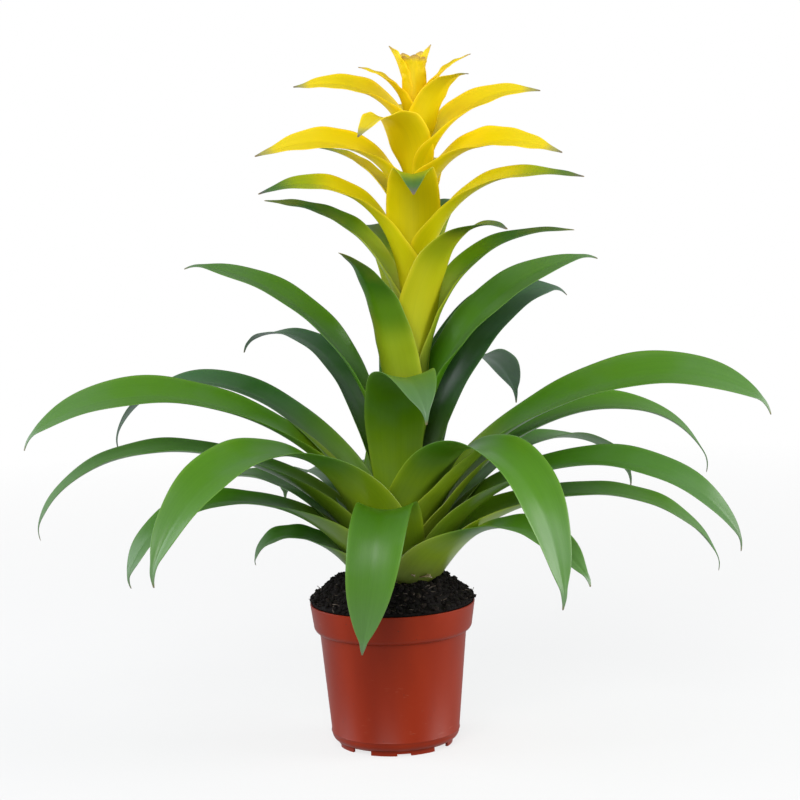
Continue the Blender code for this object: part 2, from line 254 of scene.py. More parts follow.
LEAVES = (
    Leaf(178, 8.2, 0.000, 0.102, 0.034, (56, 36, -10, -85), twist=-10),
    Leaf(
        -42, 8.0, 0.000, 0.178, 0.040, (50, 28, -14, -50),
        twist=8, palette=Palette.BROAD, form=Form.POINTED,
    ),
    Leaf(70, 7.8, 0.000, 0.200, 0.036, (58, 28, -8, -55)),
    Leaf(197, 7.2, 0.000, 0.230, 0.036, (66, 27, -18, -86), twist=-15),
    Leaf(5, 7.0, 0.000, 0.262, 0.036, (60, 17, -18, -74), twist=12, palette=Palette.BROAD),
    Leaf(101, 6.8, 0.000, 0.235, 0.038, (66, 26, -10, -55)),
    Leaf(
        -92, 6.2, 0.000, 0.208, 0.042, (76, 26, -76, -88),
        sweep=-10, palette=Palette.BROAD, wrap=34, drift=-0.022, form=Form.POINTED, sheath_width=0.046,
    ),
    Leaf(155, 6.0, 0.000, 0.192, 0.036, (70, 36, 2, -42)),
    Leaf(-9, 5.8, 0.000, 0.292, 0.040, (70, 27, -16, -68), twist=20),
    Leaf(35, 5.2, 0.000, 0.264, 0.038, (75, 32, -6, -66)),
    Leaf(184, 5.0, 0.000, 0.314, 0.038, (78, 29, -9, -80), twist=-8),
    Leaf(
        225, 4.2, 0.006, 0.304, 0.046, (85, 34, -20, -74),
        twist=-16, palette=Palette.BROAD, form=Form.POINTED,
    ),
    Leaf(
        13, 4.0, 0.006, 0.306, 0.045, (80, 38, -4, -76),
        twist=15, palette=Palette.BROAD, form=Form.POINTED,
    ),
    Leaf(130, 3.8, 0.006, 0.165, 0.038, (79, 44, 0, -74)),
    Leaf(190, 3.2, 0.012, 0.332, 0.044, (88, 40, 5, -46), twist=-24, palette=Palette.BROAD),
    Leaf(-10, 3.0, 0.012, 0.334, 0.046, (86, 40, 10, -46), twist=30, palette=Palette.BROAD),
    Leaf(90, 2.8, 0.017, 0.260, 0.040, (82, 45, 5, -50)),
    Leaf(160, 2.2, 0.017, 0.312, 0.040, (84, 46, 1, -80), twist=-10, palette=Palette.DARK),
    Leaf(-53, 2.0, 0.017, 0.290, 0.050, (82, 36, -40, -76), palette=Palette.BROAD, form=Form.POINTED),
    Leaf(60, 1.8, 0.023, 0.290, 0.042, (83, 58, 4, -65), palette=Palette.DARK),
    Leaf(
        -92, 1.3, 0.035, 0.234, 0.046, (82, 77, 24, -76),
        sweep=28, palette=Palette.INNER, wrap=46, form=Form.CUP, sheath_width=0,
    ),
    Leaf(
        25, 1.0, 0.041, 0.264, 0.052, (86, 74, 46, -22),
        twist=34, palette=Palette.DARK, wrap=34, form=Form.POINTED,
    ),
    Leaf(146, 0.8, 0.070, 0.238, 0.042, (86, 72, 32, -46), palette=Palette.DARK, form=Form.POINTED),
    Leaf(89, 0.3, 0.104, 0.250, 0.030, (86, 71, 32, -20), palette=Palette.DARK),
    Leaf(
        3, 0.2, 0.128, 0.258, 0.044, (87, 72, 40, 6),
        twist=28, palette=Palette.BROAD, form=Form.POINTED,
    ),
    Leaf(
        180, 0.0, 0.133, 0.262, 0.042, (86, 70, 38, 6),
        twist=-22, palette=Palette.BROAD, form=Form.POINTED,
    ),
)

BRACTS = (
    bract(108, 0.290, 0.125, 0.032, (82, 78, 66, 50), Palette.GREEN_BRACT),
    bract(226, 0.307, 0.154, 0.048, (82, 78, 66, 15), Palette.GREEN_BRACT, twist=-6, wrap=58),
    bract(80, 0.325, 0.190, 0.034, (80, 68, 26, -5), Palette.GREEN_BRACT),
    bract(15, 0.348, 0.204, 0.036, (80, 70, 28, -6), Palette.GREEN_BRACT, twist=12),
    bract(-48, 0.377, 0.184, 0.046, (83, 76, 40, -24), Palette.LIME_BRACT, twist=8, wrap=44),
    bract(110, 0.481, 0.160, 0.032, (80, 56, 20, -10), Palette.GREEN_BRACT),
    bract(166, 0.522, 0.156, 0.032, (81, 60, 26, 4), Palette.GREEN_BRACT, twist=-14),
    flame(197, 0.562, 0.168, 0.048, (83, 65, 18, -22), Palette.GOLD_BRACT, twist=-30),
    bract(66, 0.586, 0.128, 0.032, (80, 55, 20, -10), Palette.GREEN_BRACT),
    flame(-17, 0.603, 0.168, 0.046, (82, 54, 12, -10), Palette.GOLD_BRACT, twist=22),
    bract(-90, 0.626, 0.128, 0.042, (80, 80, 22, -64), Palette.GOLD_BRACT, wrap=38),
    bract(158, 0.696, 0.124, 0.026, (82, 58, 26, 2), Palette.GOLD_BRACT),
    flame(193, 0.725, 0.150, 0.048, (83, 50, 3, -18), Palette.YELLOW_BRACT, twist=-38),
    bract(75, 0.730, 0.120, 0.030, (80, 45, 5, -15), Palette.YELLOW_BRACT),
    flame(-15, 0.759, 0.132, 0.048, (82, 42, 0, -22), Palette.YELLOW_BRACT, twist=34),
    bract(-117, 0.803, 0.112, 0.038, (84, 64, 2, -38), Palette.YELLOW_BRACT, sweep=-12, wrap=40),
    flame(3, 0.817, 0.124, 0.044, (82, 56, 21, -10), Palette.YELLOW_BRACT, twist=34),
    bract(100, 0.841, 0.090, 0.026, (82, 60, 25, -5), Palette.YELLOW_BRACT),
    bract(-45, 0.858, 0.092, 0.034, (84, 72, 44, -14), Palette.YELLOW_BRACT, wrap=42),
    flame(187, 0.881, 0.112, 0.042, (82, 52, 11, -8), Palette.YELLOW_BRACT, twist=-34),
)

CROWN = (
    flame(196, 0.933, 0.066, 0.029, (82, 72, 38, 8), Palette.CROWN, twist=-18),
    flame(-16, 0.936, 0.071, 0.028, (82, 72, 42, 15), Palette.CROWN, twist=18),
    crest(-85, 0.957, 0.048, 0.021, (81, 86, 87, 70), Palette.CROWN),
    crest(190, 0.985, 0.047, 0.018, (86, 80, 72, 50), Palette.CROWN),
    crest(-8, 0.985, 0.046, 0.018, (87, 85, 78, 62), Palette.CROWN),
)

SCALES = (
    flame(-60, 0.016, 0.017, 0.006, (44, 22, 4, -24), Palette.PAPER, nest=9.4, twist=24, wrap=60),
    flame(-74, 0.014, 0.014, 0.005, (60, 42, 12, -30), Palette.PAPER, nest=9.0, twist=-20, wrap=60),
    flame(-46, 0.018, 0.020, 0.008, (62, 60, 56, 50), Palette.PAPER, nest=9.0, wrap=60),
    flame(205, 0.012, 0.015, 0.008, (50, 52, 48, 40), Palette.PAPER, nest=9.0, wrap=60),
)

HEART = (
    crest(-130, 0.985, 0.038, 0.016, (84, 84, 84, 50), Palette.CROWN),
    crest(-48, 0.985, 0.037, 0.016, (84, 84, 84, 55), Palette.CROWN),
    crest(60, 0.990, 0.040, 0.016, (86, 84, 80, 60), Palette.CROWN),
    crest(130, 0.990, 0.039, 0.016, (86, 84, 80, 60), Palette.CROWN),
)


def smoothstep(low: float, high: float, value: float) -> float:
    """An even rise from 0 at low to 1 at high.

    Args:
        low: Where the rise starts.
        high: Where it ends.
        value: Where it is read.

    Returns:
        The rise there, from 0 to 1.
    """
    share = min(1.0, max(0.0, (value - low) / (high - low)))
    return share * share * (3 - 2 * share)


def blended(first: Triple, second: Triple, share: float) -> Triple:
    """A colour part of the way between two.

    Args:
        first: The colour at share 0.
        second: The colour at share 1.
        share: How far along it is.

    Returns:
        The colour between them.
    """
    red, green, blue = (a + (b - a) * share for a, b in zip(first, second))
    return red, green, blue


def along_palette(palette: Palette, share: float) -> Triple:
    """The colour of a palette at a place along a leaf.

    Args:
        palette: The leaf's palette.
        share: The place, as a share of the leaf's length.

    Returns:
        The colour there.
    """
    stops = palette.value
    for (low, first), (high, second) in zip(stops, stops[1:]):
        if share <= high:
            return blended(first, second, smoothstep(low, high, share))
    return stops[-1][1]


@dataclass
class Wiring:
    """The nodes of one tree, and the ways to wire them up."""

    tree: bpy.types.NodeTree

    def node(
        self, kind: str, inputs: dict[str | int, Any] | None = None, **settings: Any
    ) -> bpy.types.Node:
        """Adds a node.

        Args:
            kind: The node's type.
            inputs: A value, or a socket to link from, for each named or numbered input.
            settings: The node's own properties.

        Returns:
            The node.
        """
        made = self.tree.nodes.new(kind)
        for name, value in settings.items():
            setattr(made, name, value)
        for name, value in (inputs or {}).items():
            if isinstance(value, bpy.types.NodeSocket):
                self.tree.links.new(value, made.inputs[name])
            else:
                made.inputs[name].default_value = value
        return made

    def place(self, output: str, scale: Triple = (1.0, 1.0, 1.0)) -> bpy.types.NodeSocket:
        """Texture coordinates, stretched.

        Args:
            output: Object or UV.
            scale: How many pattern units there are in each coordinate's unit.

        Returns:
            The stretched coordinates.
        """
        source = self.node("ShaderNodeTexCoord").outputs[output]
        return self.node("ShaderNodeMapping", {"Vector": source, "Scale": scale}).outputs["Vector"]

    def grain(self, where: bpy.types.NodeSocket, scale: float, detail: float = 2.0) -> bpy.types.NodeSocket:
        """Noise, about 0.5 on average.

        Args:
            where: The coordinates that it reads.
            scale: Its features in one unit of those coordinates.
            detail: How many finer layers it has.

        Returns:
            The noise.
        """
        values = {"Vector": where, "Scale": scale, "Detail": detail}
        return self.node("ShaderNodeTexNoise", values).outputs["Fac"]

    def spread(
        self, value: bpy.types.NodeSocket, low: float, high: float, to_low: float, to_high: float
    ) -> bpy.types.NodeSocket:
        """Maps a range of a value on to another range, and clamps it there.

        Args:
            value: What is mapped.
            low: The start of its range.
            high: The end of its range.
            to_low: What the start becomes.
            to_high: What the end becomes.

        Returns:
            The mapped value.
        """
        values = {"Value": value, 1: low, 2: high, 3: to_low, 4: to_high}
        return self.node("ShaderNodeMapRange", values).outputs[0]

    def mix(
        self,
        share: bpy.types.NodeSocket | float,
        first: bpy.types.NodeSocket | tuple[float, ...],
        second: bpy.types.NodeSocket | tuple[float, ...],
        blend: str = "MIX",
    ) -> bpy.types.NodeSocket:
        """Mixes two colours.

        Args:
            share: How much of the second is mixed in.
            first: The first colour.
            second: The second colour.
            blend: How they are mixed.

        Returns:
            The mixed colour.
        """
        values = {0: share, 6: first, 7: second}
        return self.node("ShaderNodeMix", values, data_type="RGBA", blend_type=blend).outputs[2]

    def product(self, first: bpy.types.NodeSocket, second: bpy.types.NodeSocket) -> bpy.types.NodeSocket:
        """Two values multiplied."""
        return self.node("ShaderNodeMath", {0: first, 1: second}, operation="MULTIPLY").outputs[0]


class Bench(Wiring):
    """A bench for one material: its nodes and its Principled shader."""

    def __init__(self, name: str) -> None:
        """Starts the material.

        Args:
            name: Its name.
        """
        self.material = bpy.data.materials.new(name)
        self.material.use_nodes = True
        super().__init__(self.material.node_tree)
        self.shader = self.tree.nodes["Principled BSDF"]

    def set(self, **values: float | Triple) -> None:
        """Sets the shader's own sockets to values that are the same all over.

        Args:
            values: A value for each socket, its name with underscores for spaces.
        """
        for name, value in values.items():
            self.shader.inputs[name.replace("_", " ")].default_value = value

    def drive(self, name: str, socket: bpy.types.NodeSocket) -> None:
        """Links a socket to one of the shader's inputs."""
        self.tree.links.new(socket, self.shader.inputs[name])

    def bump(self, height: bpy.types.NodeSocket, strength: float, distance: float) -> None:
        """Gives the surface relief.

        Args:
            height: The relief, from 0 to 1.
            strength: How much of it is felt.
            distance: Its depth in metres.
        """
        values = {"Height": height, "Strength": strength, "Distance": distance}
        self.drive("Normal", self.node("ShaderNodeBump", values).outputs["Normal"])


@dataclass(frozen=True)
class LeafSkin:
    """A waxy leaf: its own colours, fine veins along it and patches that are duller or bluer."""

    name: str
    roughness: Span
    bloom: Triple
    bloom_share: float
    vein_share: float
    glow: float
    shine: float
    relief: float
    veins_across: float = 46.0
    veins_along: float = 1.6
    patch_scale: float = 26.0

    def material(self) -> bpy.types.Material:
        """Makes the finish.

        Returns:
            The material.
        """
        bench = Bench(self.name)
        skin = bench.node("ShaderNodeAttribute", attribute_name="skin").outputs["Color"]
        veins = bench.grain(bench.place("UV", (self.veins_across, self.veins_along, 1.0)), 1.0, 3.0)
        patches = bench.grain(bench.place("Object"), self.patch_scale, 3.0)
        dark = bench.mix(1.0, skin, (0.66, 0.74, 0.66, 1.0), "MULTIPLY")
        lined = bench.mix(bench.spread(veins, 0.42, 0.66, 0.0, self.vein_share), skin, dark)
        bloomed = bench.mix(
            bench.spread(patches, 0.46, 0.78, 0.0, self.bloom_share), lined, (*self.bloom, 1.0)
        )
        bench.drive("Base Color", bloomed)
        low, high = self.roughness
        bench.drive("Roughness", bench.spread(patches, 0.35, 0.7, low, high))
        bench.bump(veins, self.relief, 0.0003)
        bench.set(
            Subsurface_Weight=self.glow,
            Subsurface_Radius=(0.6, 1.0, 0.15),
            Subsurface_Scale=0.004,
            Specular_IOR_Level=self.shine,
        )
        return bench.material


@dataclass(frozen=True)
class PotPlastic:
    """Thin moulded plastic, satin, with faint flow marks, scuffs and a few specks of soil."""

    name: str = "pot_plastic"
    colour: Triple = (0.340, 0.025, 0.001)
    deep: Triple = (0.235, 0.015, 0.001)
    scuff: Triple = (0.430, 0.120, 0.070)
    speck: Triple = (0.045, 0.022, 0.015)

    def material(self) -> bpy.types.Material:
        """Makes the finish.

        Returns:
            The material.
        """
        bench = Bench(self.name)
        even = bench.place("Object")
        flow = bench.grain(bench.place("Object", (1.0, 1.0, 0.25)), 22.0, 3.0)
        scratches = bench.grain(bench.place("Object", (1.0, 1.0, 5.0)), 130.0, 2.0)
        patches = bench.spread(bench.grain(even, 30.0), 0.5, 0.7, 0.0, 0.7)
        scuffs = bench.product(bench.spread(scratches, 0.66, 0.78, 0.0, 1.0), patches)
        specks = bench.spread(bench.grain(even, 520.0, 1.0), 0.76, 0.80, 0.0, 0.8)
        body = bench.mix(bench.spread(flow, 0.3, 0.7, 0.0, 1.0), (*self.deep, 1.0), (*self.colour, 1.0))
        scuffed = bench.mix(scuffs, body, (*self.scuff, 1.0))
        bench.drive("Base Color", bench.mix(specks, scuffed, (*self.speck, 1.0)))
        bench.drive("Roughness", bench.spread(flow, 0.3, 0.7, 0.34, 0.44))
        bench.bump(bench.grain(even, 900.0, 2.0), 0.12, 0.0002)
        bench.set(Specular_IOR_Level=0.26)
        return bench.material


@dataclass(frozen=True)
class Peat:
    """Moist crumbly peat, nearly black, with paler bits, and painted shade that darkens the low parts of
    its crumbly relief.
    """

    name: str
    dark: Triple
    pale: Triple
    pale_from: float
    scale: float = 420.0

    def material(self) -> bpy.types.Material:
        """Makes the finish.

        Returns:
            The material.
        """
        bench = Bench(self.name)
        even = bench.place("Object")
        crumbs = bench.grain(even, self.scale, 5.0)
        pale = bench.spread(bench.grain(even, self.scale * 0.6, 3.0), self.pale_from, 0.8, 0.0, 1.0)
        # Painted shade: the colour goes towards near-black where the crumbs noise is low, which is where
        # the bump below sinks the surface.
        painted_hollow_shade = bench.mix(crumbs, (0.004, 0.003, 0.003, 1.0), (*self.dark, 1.0))
        bench.drive("Base Color", bench.mix(pale, painted_hollow_shade, (*self.pale, 1.0)))
        bench.drive("Roughness", bench.spread(crumbs, 0.3, 0.7, 0.72, 0.95))
        bench.bump(crumbs, 0.9, 0.0012)
        bench.set(Specular_IOR_Level=0.18)
        return bench.material


@dataclass(frozen=True)
class PaleFloor:
    """A pale floor that fades into the light round it."""

    colour: Triple = (0.90, 0.90, 0.90)
    pale: Triple = (0.92, 0.92, 0.92)
    least_clear: float = 0.74
    fades_from: float = 0.3
    fades_to: float = 1.6

    def material(self) -> bpy.types.Material:
        """Makes the finish.

        Returns:
            The material.
        """
        bench = Bench("pale_floor")
        place = bench.place("Object")
        reach = bench.node("ShaderNodeVectorMath", {0: place}, operation="LENGTH").outputs["Value"]
        clear = bench.node("ShaderNodeBsdfTransparent").outputs["BSDF"]
        share = bench.spread(reach, self.fades_from, self.fades_to, self.least_clear, 1.0)
        both = bench.node("ShaderNodeMixShader", {0: share, 1: bench.shader.outputs["BSDF"], 2: clear})
        bench.tree.links.new(both.outputs[0], bench.tree.nodes["Material Output"].inputs["Surface"])
        colour = bench.mix(bench.grain(place, 3.0), (*self.colour, 1.0), (*self.pale, 1.0))
        bench.drive("Base Color", colour)
        bench.set(Roughness=0.8)
        return bench.material


def new_object(name: str, bm: bmesh.types.BMesh, finish: bpy.types.Material) -> bpy.types.Object:
    """Makes a smooth-shaded object of a bmesh, which is freed.

    Args:
        name: The object's name.
        bm: Its shape, in place.
        finish: Its material.

    Returns:
        The object, in the scene.
    """
    mesh = bpy.data.meshes.new(name)
    bm.to_mesh(mesh)
    bm.free()
    mesh.materials.append(finish)
    mesh.shade_smooth()
    obj = bpy.data.objects.new(name, mesh)
    bpy.context.scene.collection.objects.link(obj)
    return obj


def turned(profile: list[Span], turns: int) -> bmesh.types.BMesh:
    """Turns a profile about Z into a closed shape.

    Args:
        profile: Its points, each a radius and a height, from the axis back to the axis.
        turns: How many steps there are in the full turn.

    Returns:
        The shape.
    """
    bm = bmesh.new()
    line = [bm.verts.new((radius, 0, height)) for radius, height in profile]
    edges = [bm.edges.new(pair) for pair in zip(line, line[1:])]
    around = {"axis": (0, 0, 1), "cent": (0, 0, 0), "angle": 2 * math.pi}
    bmesh.ops.spin(bm, geom=line + edges, steps=turns, use_merge=True, **around)
    bmesh.ops.remove_doubles(bm, verts=bm.verts, dist=MERGE_DISTANCE)
    bmesh.ops.recalc_face_normals(bm, faces=bm.faces)
    return bm


def keep(obj: bpy.types.Object, slot: Slot, *nodes: str) -> None:
    """Puts a finished piece in the frame.

    Args:
        obj: The piece.
        slot: The material slot that is logged for it.
        nodes: The frame's nodes that it stands for.
    """
    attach(obj, BODY)
    if nodes:
        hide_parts(*nodes)
    LOG.info("%s: %d faces, %s", obj.name, len(obj.data.polygons), slot.value)


@dataclass(frozen=True)
class PlantAxis:
    """The line that the plant grows along. It leans a little to +X.

    foot: the soil's height at the stem.
    height: the stalk's height above the soil.
    """

    foot: float
    height: float
    offset: float = 0.0045
    lean: float = 0.021
    radius: float = 0.009
    tip_radius: float = 0.0035

    def point(self, height: float) -> Vector:
        """A point on the line.

        Args:
            height: Its height above the soil.

        Returns:
            The point.
        """
        rise = min(1.0, max(0.0, height) / self.height)
        return Vector((self.offset + self.lean * (2 - rise) * rise, 0, self.foot + height))

    def stalk_radius(self, height: float) -> float:
        """The stalk's radius at a height above the soil."""
        return self.radius + (self.tip_radius - self.radius) * max(0.0, height) / self.height


@dataclass
class Section:
    """A place along a leaf: its point, its directions across and up, and its radius round the stem."""

    point: Vector
    side: Vector
    up: Vector
    radius: float


@dataclass
class Blade:
    """A leaf or bract as a mesh: a strip that is bent, cupped across, rippled and given its thickness.

    twists, opens, loosens, settles: between which shares of its length it turns its face, opens from its
    sheath's wrap to its blade's, begins to ripple and stops.
    pale_edge: how far across its pale edge begins and is full.
    dries: where its tip begins to dry and is dry.
    """

    name: str
    leaf: Leaf
    axis: PlantAxis
    finish: bpy.types.Material
    columns: int = 12
    fit_gap: float = 0.0011
    sheath_pitch: float = 0.0022
    least_slope: float = 0.2
    tip_width: float = 0.0011
    keel: float = 0.0007
    point_width: float = 0.11
    hook: float = 34.0
    twists: Span = (0.1, 0.8)
    opens: Span = (0.04, 0.34)
    loosens: Span = (0.3, 0.6)
    settles: Span = (0.9, 1.0)
    slow_waves: Span = (2.2, 3.6)
    quick_waves: Span = (5.0, 7.5)
    pale_edge: Span = (0.86, 1.0)
    edge_ends: Span = (0.8, 1.0)
    edge_share: float = 0.6
    dries: Span = (0.982, 1.0)
    dry_share: float = 0.8
    dry: Triple = (0.240, 0.150, 0.060)

    @property
    def form(self) -> Outline:
        """The leaf's outline."""
        return self.leaf.form.value

    def slope(self, share: float) -> float:
        """The cubic through the leaf's four slopes, with its point hooked down.

        Args:
            share: The place, as a share of the leaf's length.

        Returns:
            The slope there, in radians.
        """
        total = 0.0
        for i, slope in enumerate(self.leaf.bend):
            weight = 1.0
            for j in range(len(self.leaf.bend)):
                if j != i:
                    weight *= (share * 3 - j) / (i - j)
            total += slope * weight
        if self.form.point:
            total -= self.hook * smoothstep(1 - 2 * self.form.point, 1.0, share)
        return math.radians(total)

    def sections(self) -> list[Section]:
        """Walks along the leaf.

        Returns:
            A section at each step.
        """
        leaf = self.leaf
        start = leaf.start * self.axis.height
        gap = self.fit_gap
        sheath = self.axis.stalk_radius(start) + gap + leaf.nest * self.sheath_pitch
        heading = math.radians(leaf.azimuth)
        point = self.axis.point(start + gap) + sheath * Vector((math.cos(heading), math.sin(heading), 0))
        found = []
        for step in range(self.form.steps + 1):
            share = step / self.form.steps
            slope = self.slope(share)
            heading = math.radians(leaf.azimuth + leaf.sweep * share * share)
            out = Vector((math.cos(heading), math.sin(heading), 0))
            ahead = out * math.cos(slope) + Vector((0, 0, math.sin(slope)))
            side = Vector((-out.y, out.x, 0))
            up = ahead.cross(side)
            turn = Matrix.Rotation(math.radians(leaf.twist) * smoothstep(*self.twists, share), 3, ahead)
            away = (point - self.axis.point(point.z - self.axis.foot)).to_2d().length
            radius = away / max(math.sin(slope), self.least_slope)
            found.append(Section(point.copy(), turn @ side, turn @ up, radius))
            point += ahead * leaf.length / self.form.steps
        return found

    def width(self, share: float, sheath_radius: float) -> float:
        """How wide the leaf is.

        Args:
            share: The place, as a share of the leaf's length.
            sheath_radius: Its radius round the stem at its base.

        Returns:
            The width there.
        """
        form = self.form
        widest = max(self.leaf.width, self.leaf.sheath_width)
        sheath = min(widest, 2 * sheath_radius * math.radians(form.sheath_wrap))
        blade = sheath + (self.leaf.width - sheath) * smoothstep(*form.widens, share)
        taper = min(1.0, max(0.0, share - form.tapers_from) / (1 - form.point - form.tapers_from))
        body = blade * (1 - taper**form.taper_power) ** form.tip_power
        point = self.leaf.width * self.point_width * min(1.0, (1 - share) / (form.point or 1.0))
        return max(self.tip_width, body, point if form.point else 0.0)

    def surface(self) -> list[list[Vector]]:
        """The leaf's upper face.

        Returns:
            Its points: one row a section, from one edge to the other.
        """
        draws = random.Random(self.name)
        phases = [draws.uniform(0, 2 * math.pi) for _ in range(4)]
        waves = [draws.uniform(*self.slow_waves), draws.uniform(*self.quick_waves)]
        grid = []
        sections = self.sections()
        for row, section in enumerate(sections):
            share = row / self.form.steps
            width = self.width(share, sections[0].radius)
            sheath_wrap = self.form.sheath_wrap
            wrap = sheath_wrap + (self.leaf.wrap - sheath_wrap) * smoothstep(*self.opens, share)
            radius = max(min(section.radius, self.form.cup_radius), width / 2 / math.radians(wrap))
            half = width / 2 / radius
            loose = smoothstep(*self.loosens, share) * (1 - smoothstep(*self.settles, share))
            line = []
            for column in range(self.columns + 1):
                across = 2 * column / self.columns - 1
                lift = -self.keel * loose * max(0.0, 1 - abs(across) * 4)
                for wave, phase in zip(waves, phases[(column * 2 > self.columns) * 2 :]):
                    swing = math.sin(wave * 2 * math.pi * share + phase)
                    lift += self.leaf.ripple * loose * across**2 * swing
                angle = half * across
                rise = radius * (1 - math.cos(angle)) + lift
                aside = radius * math.sin(angle) + self.leaf.drift * share * share
                line.append(section.point + section.side * aside + section.up * rise)
            grid.append(line)
        return grid

    def tint(self, share: float, across: float) -> tuple[float, float, float, float]:
        """The leaf's own colour: paler along its edges and at its sheath's, dull at the very tip.

        Args:
            share: The place, as a share of the leaf's length.
            across: The place across it, from -1 to 1.

        Returns:
            The colour there, with alpha.
        """
        colour = along_palette(self.leaf.palette, share)
        edge = smoothstep(*self.pale_edge, abs(across)) * (1 - smoothstep(*self.edge_ends, share))
        red, green, blue = colour
        pale = (red * 1.5 + 0.02, green * 1.3 + 0.02, blue + 0.02)
        colour = blended(colour, pale, edge * self.edge_share)
        colour = blended(colour, self.dry, smoothstep(*self.dries, share) * self.dry_share)
        return (*colour, 1.0)

    def build(self) -> bpy.types.Object:
        """Makes the leaf.

        Returns:
            Its object.
        """
        surface = self.surface()
        rows = self.form.steps
        bm = bmesh.new()
        bm.loops.layers.uv.new("UVMap")
        skin = bm.verts.layers.float_color.new("skin")
        bmesh.ops.create_grid(bm, x_segments=self.columns, y_segments=rows, size=1, calc_uvs=True)
        for vert in bm.verts:
            column = round((vert.co.x + 1) / 2 * self.columns)
            row = round((vert.co.y + 1) / 2 * rows)
            vert.co = surface[row][column]
            vert[skin] = self.tint(row / rows, 2 * column / self.columns - 1)
        obj = new_object(self.name, bm, self.finish)
        solidify = obj.modifiers.new("thickness", "SOLIDIFY")
        solidify.thickness = self.form.thickness
        solidify.offset = 1
        smooth = obj.modifiers.new("smooth", "SUBSURF")
        smooth.levels = smooth.render_levels = 1
        return obj


@dataclass
class Plant:
    """The bromeliad: its stalk, its rosette of leaves, and the bracts up its stalk.

    colour_reach: how far along a lime bract's palette the stalk's colours run.
    """

    axis: PlantAxis
    stalk_depth: float = 0.028
    stalk_rings: int = 40
    stalk_sides: int = 24
    colour_reach: float = 0.4
    leaf_skin: LeafSkin = LeafSkin(
        "green_leaf", (0.30, 0.43), (0.130, 0.240, 0.120), 0.22, 0.26, 0.04, 0.46, 0.08
    )
    bract_skin: LeafSkin = LeafSkin(
        "yellow_bract", (0.40, 0.56), (0.900, 0.600, 0.020), 0.16, 0.14, 0.10, 0.30, 0.05
    )
    stalk_skin: LeafSkin = LeafSkin(
        "plant_stem", (0.40, 0.55), (0.300, 0.340, 0.040), 0.25, 0.20, 0.0, 0.30, 0.16
    )

    def stalk(self, finish: bpy.types.Material) -> None:
        """The stalk, from its foot in the soil to its top, thinner as it goes up.

        Args:
            finish: Its material.
        """
        bm = bmesh.new()
        bm.loops.layers.uv.new("UVMap")
        skin = bm.verts.layers.float_color.new("skin")
        length = self.axis.height + self.stalk_depth
        ring = bmesh.ops.create_circle(bm, cap_ends=True, segments=self.stalk_sides, radius=1)["verts"]
        base = self.axis.point(-self.stalk_depth)
        bmesh.ops.scale(bm, verts=ring, vec=Vector((1, 1, 0)) * self.axis.radius)
        bmesh.ops.translate(bm, verts=ring, vec=base)
        cap = bm.faces[:][0]
        for step in range(1, self.stalk_rings + 1):
            height = length * step / self.stalk_rings - self.stalk_depth
            made = bmesh.ops.extrude_face_region(bm, geom=[cap], use_keep_orig=step == 1)["geom"]
            cap = next(item for item in made if isinstance(item, bmesh.types.BMFace))
            middle = cap.calc_center_median()
            top = self.axis.point(height)
            scale = self.axis.stalk_radius(height) / (cap.verts[0].co - middle).length
            about = Matrix.Translation(-middle)
            bmesh.ops.scale(bm, verts=cap.verts, vec=(scale, scale, scale), space=about)
            bmesh.ops.translate(bm, verts=cap.verts, vec=top - middle)
        bmesh.ops.recalc_face_normals(bm, faces=bm.faces)
        for vert in bm.verts:
            share = (vert.co.z - base.z) / length
            vert[skin] = (*along_palette(Palette.LIME_BRACT, share * self.colour_reach), 1.0)
        keep(new_object("stem", bm, finish), Slot.STEM, "stem")

    def build(self) -> None:
        """Makes the stalk and every leaf and bract, each in its own piece."""
        green, yellow = self.leaf_skin.material(), self.bract_skin.material()
        self.stalk(self.stalk_skin.material())
        groups = (
            ("leaf_{:02d}", LEAVES, green, Slot.LEAF),
            ("bract_{:02d}", BRACTS, yellow, Slot.BRACT),
            ("crown_bract_{}", CROWN, yellow, Slot.BRACT),
        )
        for pattern, leaves, finish, slot in groups:
            for index, leaf in enumerate(leaves, 1):
                name = pattern.format(index)
                keep(Blade(name, leaf, self.axis, finish).build(), slot, name)
        for index, leaf in enumerate(HEART, 1):
            keep(Blade(f"heart_bract_{index}", leaf, self.axis, yellow).build(), Slot.BRACT)
        for index, leaf in enumerate(SCALES, 1):
            keep(Blade(f"dry_scale_{index}", leaf, self.axis, green).build(), Slot.LEAF)


